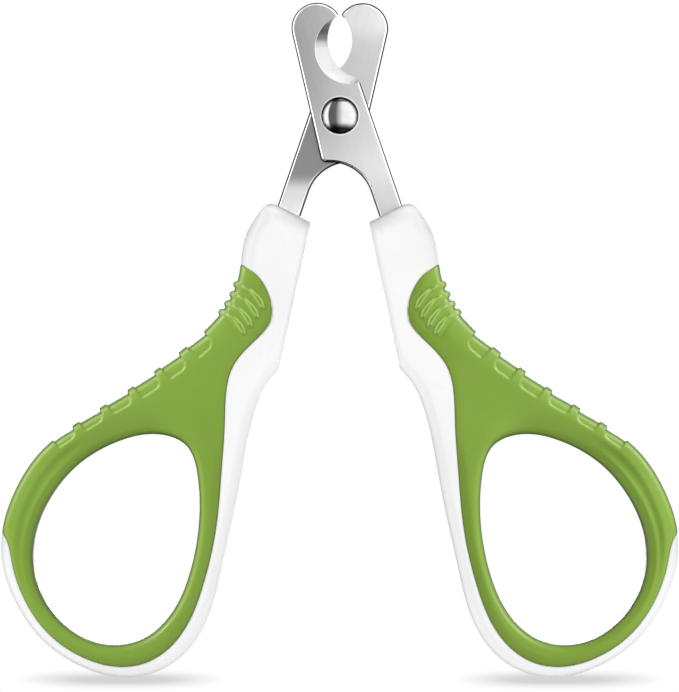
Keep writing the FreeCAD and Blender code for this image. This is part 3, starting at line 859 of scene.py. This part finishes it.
def soften_edges(node):
    """Breaks a CAD piece's sharp edges by a hair, so that they catch the light."""
    piece = frame["nodes"][node]
    weld = piece.modifiers.new("weld", "WELD")
    weld.merge_threshold = 0.001 * MM
    flats = piece.modifiers.new("flats", "DECIMATE")
    flats.decimate_type = "DISSOLVE"
    flats.angle_limit = FLAT_ANGLE
    bevel = piece.modifiers.new("edges", "BEVEL")
    bevel.width = SOFT_EDGE * MM
    bevel.segments = SOFT_EDGE_STEPS
    bevel.limit_method = "ANGLE"
    bevel.angle_limit = SOFT_EDGE_ANGLE
    bevel.harden_normals = True
    bevel.use_clamp_overlap = False


def finish_metal(node, material):
    """Gives a CAD piece its material, leaving its mesh as it is."""
    for slot in frame["nodes"][node].material_slots:
        slot.link = "OBJECT"
        slot.material = material


handle = Handle()
GREEN = soft_green()
WHITE = white_plastic()
CHROME = chrome()
grip_mesh = handle_mesh("grip")
core_mesh = handle_mesh("core")
GRIPS = [
    place("right_grip_soft", grip_mesh, "front_lever", "right_grip", GREEN, False),
    place("left_grip_soft", grip_mesh, "rear_lever", "left_grip", GREEN, True),
]
SHELLS = [
    place("right_handle_shell", core_mesh, "front_lever", "right_handle_core", WHITE, False),
    place("left_handle_shell", core_mesh, "rear_lever", "left_handle_core", WHITE, True),
]
finish_metal("front_blade", steel("brushed_blade", 1, FRONT_REFLECTIONS))
finish_metal("rear_blade", steel("brushed_blade_rear", -1, REAR_REFLECTIONS))
finish_metal("pivot_rivet", CHROME)
finish_metal("rivet_rear_cap", CHROME)
finish_metal("tension_washer", spring_steel())
soften_edges("front_blade")
soften_edges("rear_blade")


# ------------------------------------------------------------------ floor
FLOOR_TILT = math.radians(8)
FLOOR_SIZE = 6.0
FLOOR_STEPS = 12
SHADOW_REACH = 8.5
SHADOW_DARKEST = 0.45
SHADOW_LIGHTEST = 0.94
SHADOW_TONE = 0.66
# painted light: strength of the floor's glow for all but the camera, standing in for light bounced off the
# floor
FLOOR_GLOW_AS_BOUNCE = 1.45
FLOOR_GLOW = 0.8  # share of the floor's light that is its own and not reflected


def floor():
    """White floor that glows, with a painted soft shadow where the object comes near it, falling a little
    towards the eye.
    """
    n = Nodes("pale_floor")
    dust = n.noise(30.0, 4.0)
    n.set(Base_Color=n.mix(dust, (0.90, 0.90, 0.905, 1), (0.93, 0.93, 0.93, 1)), Roughness=0.75)
    # painted shadow: closeness to the object darkens the floor's glow
    near = n.add("ShaderNodeAmbientOcclusion", {"Distance": SHADOW_REACH * MM}, samples=8).outputs["AO"]
    tone = n.spread(near, SHADOW_DARKEST, SHADOW_LIGHTEST, SHADOW_TONE, 1.0)
    seen = n.add("ShaderNodeLightPath").outputs["Is Camera Ray"]
    colour = n.mix(tone, BLACK, (1, 1, 1, 1))
    strength = n.spread(seen, 0.0, 1.0, FLOOR_GLOW_AS_BOUNCE, 1.0)
    glow = n.add("ShaderNodeEmission", {"Color": colour, "Strength": strength}).outputs[0]
    share = n.math("MAXIMUM", seen, FLOOR_GLOW)
    mixed = n.add("ShaderNodeMixShader", {0: share, 1: n.surface.outputs[0], 2: glow})
    n.tree.links.new(mixed.outputs[0], n.tree.nodes["Material Output"].inputs["Surface"])
    bpy.ops.mesh.primitive_plane_add(size=FLOOR_SIZE, location=(0, 0, 0))
    plane = bpy.context.object
    plane.name = "floor"
    plane.rotation_euler = (FLOOR_TILT, 0.0, 0.0)
    plane.location = (0.0, 0.0, -GRIP_HALF * MM * math.tan(FLOOR_TILT))
    plane.data.materials.append(n.material)
    plane.visible_glossy = False
    follow_lowest(plane)


def follow_lowest(plane):
    """Lowers the floor as the front lever closes, since its loop then swings below its standing height."""
    curve = plane.driver_add("location", 2)
    while curve.modifiers:
        curve.modifiers.remove(curve.modifiers[0])
    curve.driver.type = "SUM"
    turn = curve.driver.variables.new()
    turn.type = "TRANSFORMS"
    turn.targets[0].id = frame["bodies"]["front_lever"]
    turn.targets[0].transform_type = "ROT_Y"
    turn.targets[0].transform_space = "WORLD_SPACE"
    x, z = smooth_curve(OUTSIDE).T
    closing = -math.radians(frame["record"]["behaviour"]["joints"][0]["range_deg"][0])
    for angle in np.linspace(0, closing, FLOOR_STEPS):
        lowest = PIVOT.z + MM * (z * math.cos(angle) - x * math.sin(angle)).min()
        curve.keyframe_points.insert(angle, plane.location.z + min(lowest, 0.0))


# ------------------------------------------------------------------ surroundings
# Strength of the surroundings seen in polished metal, by degrees to the right of straight ahead and by
# degrees above it; they are the same in front and behind.
ACROSS = ((-90, 1.0), (-48, 1.0), (-43, 0.10), (-16, 0.12), (12, 0.85), (58, 1.0), (90, 1.0))
UPWARD = (
    (-90, 0.02), (-46, 0.02), (-38, 0.20), (-24, 1.0), (53, 1.0),
    (57, 0.25), (60, 0.25), (64, 1.0), (90, 1.0),
)
MIRROR_STRENGTH = 1.7
# soft dome that lights the rest, by height of the direction, and dimmer towards the back
DOME = ((-1, 0.42), (-0.2, 0.50), (0.3, 0.62), (1, 0.95))
DOME_BACK = ((-1, 1.0), (-0.2, 1.0), (0.3, 0.55), (1, 0.45))
DOME_STRENGTH = 0.50


def stops(tree, value, levels):
    """Colour ramp through (input, level) pairs."""
    low, high = levels[0][0], levels[-1][0]
    scale = tree.nodes.new("ShaderNodeMapRange")
    scale.inputs[1].default_value, scale.inputs[2].default_value = low, high
    tree.links.new(value, scale.inputs[0])
    node = tree.nodes.new("ShaderNodeValToRGB")
    tree.links.new(scale.outputs[0], node.inputs[0])
    elements = node.color_ramp.elements
    while len(elements) < len(levels):
        elements.new(0.5)
    for k, (at, level) in enumerate(levels):
        elements[k].position = (at - low) / (high - low)
        elements[k].color = (level, level, level, 1)
    return node.outputs[0]


def world():
    """White behind the object for the camera, soft boxes for reflections, a plain soft dome for the rest."""
    w = bpy.data.worlds.new("studio")
    bpy.context.scene.world = w
    w.use_nodes = True
    tree = w.node_tree
    tree.nodes.clear()

    def add(kind, *inputs, **settings):
        node = tree.nodes.new(kind)
        for key, value in settings.items():
            setattr(node, key, value)
        for socket, value in zip(node.inputs, inputs):
            if isinstance(value, bpy.types.NodeSocket):
                tree.links.new(value, socket)
            else:
                socket.default_value = value
        return node.outputs[0]

    direction = tree.nodes.new("ShaderNodeTexCoord").outputs["Generated"]
    split = tree.nodes.new("ShaderNodeSeparateXYZ")
    tree.links.new(direction, split.inputs[0])
    x, y, z = split.outputs
    toward = add("ShaderNodeMath", y, operation="ABSOLUTE")
    across = add("ShaderNodeMath", x, toward, operation="ARCTAN2")
    across = add("ShaderNodeMath", across, math.degrees(1), operation="MULTIPLY")
    upward = add("ShaderNodeMath", z, operation="ARCSINE")
    upward = add("ShaderNodeMath", upward, math.degrees(1), operation="MULTIPLY")
    across = stops(tree, across, ACROSS)
    upward = stops(tree, upward, UPWARD)
    mirror = add("ShaderNodeMath", across, upward, operation="MULTIPLY")
    soft = add("ShaderNodeMath", stops(tree, z, DOME), stops(tree, y, DOME_BACK), operation="MULTIPLY")
    path = tree.nodes.new("ShaderNodeLightPath")
    mirror = add("ShaderNodeBackground", mirror, MIRROR_STRENGTH)
    soft = add("ShaderNodeBackground", soft, DOME_STRENGTH)
    seen = add("ShaderNodeBackground", (1, 1, 1, 1), 1.0)
    other = add("ShaderNodeMixShader", path.outputs["Is Glossy Ray"], soft, mirror)
    shown = add("ShaderNodeMixShader", path.outputs["Is Camera Ray"], other, seen)
    tree.links.new(shown, tree.nodes.new("ShaderNodeOutputWorld").inputs[0])


# ------------------------------------------------------------------ lights and camera, in metres
KEY_SIZE = 0.30
KEY_SIDE, KEY_BACK, KEY_UP = 0.435, -0.30, 0.385
KEY_AIM_SIDE, KEY_AIM_UP = 0.035, 0.05
GRIP_KEY_WATTS = 4.3
SHELL_KEY_WATTS = 0.65
FILL_SIZE = 0.6
FRONT_FILL, FRONT_AIM = (0.0, -0.9, 0.15), (0.0, 0.0, 0.06)
REAR_FILL, REAR_AIM = (0.0, 0.9, 0.30), (0.0, 0.0, 0.05)
FRONT_FILL_WATTS = 2.5
REAR_GRIP_WATTS = 8.5
REAR_SHELL_WATTS = 4.5
LENS = 420
SENSOR = 36
VIEW_HEIGHT = 124.56 * MM
VIEW_MIDDLE = (-0.072 * MM, -41.508 * MM)  # across, and up from the pivot
EYE_BACK = 2.5 * MM


def area_light(name, location, target, size, watts, receivers):
    """Square soft light that only falls on the pieces given."""
    data = bpy.data.lights.new(name, "AREA")
    data.shape = "RECTANGLE"
    data.size, data.size_y = size, size
    data.energy = watts
    light = bpy.data.objects.new(name, data)
    light.location = location
    light.rotation_euler = (Vector(location) - Vector(target)).to_track_quat("Z", "Y").to_euler()
    bpy.context.scene.collection.objects.link(light)
    group = bpy.data.collections.new(name + "_receivers")
    for piece in receivers:
        group.objects.link(piece)
    light.light_linking.receiver_collection = group


def lights():
    """A key from the outer side for each handle, and fills in front and behind."""
    for side, name, grip, shell in ((1, "right", GRIPS[0], SHELLS[0]), (-1, "left", GRIPS[1], SHELLS[1])):
        spot = (KEY_SIDE * side, KEY_BACK, KEY_UP)
        target = (KEY_AIM_SIDE * side, 0, KEY_AIM_UP)
        area_light(name + "_grip_key", spot, target, KEY_SIZE, GRIP_KEY_WATTS, [grip])
        area_light(name + "_shell_key", spot, target, KEY_SIZE, SHELL_KEY_WATTS, [shell])
    area_light("front_fill", FRONT_FILL, FRONT_AIM, FILL_SIZE, FRONT_FILL_WATTS, SHELLS)
    area_light("rear_fill", REAR_FILL, REAR_AIM, FILL_SIZE, REAR_GRIP_WATTS, GRIPS)
    area_light("rear_shell_fill", REAR_FILL, REAR_AIM, FILL_SIZE, REAR_SHELL_WATTS, SHELLS)


def camera():
    """Long lens, level with the middle of the view, so that nothing looks tapered."""
    data = bpy.data.cameras.new("camera")
    data.lens = LENS
    data.sensor_width = SENSOR
    cam = bpy.data.objects.new("camera", data)
    away = VIEW_HEIGHT * LENS / SENSOR + EYE_BACK
    cam.location = (VIEW_MIDDLE[0], -away, PIVOT.z + VIEW_MIDDLE[1])
    cam.rotation_euler = (math.pi / 2, 0, 0)
    bpy.context.scene.collection.objects.link(cam)
    bpy.context.scene.camera = cam


floor()
world()
lights()
camera()
bpy.context.scene.view_settings.view_transform = "Standard"
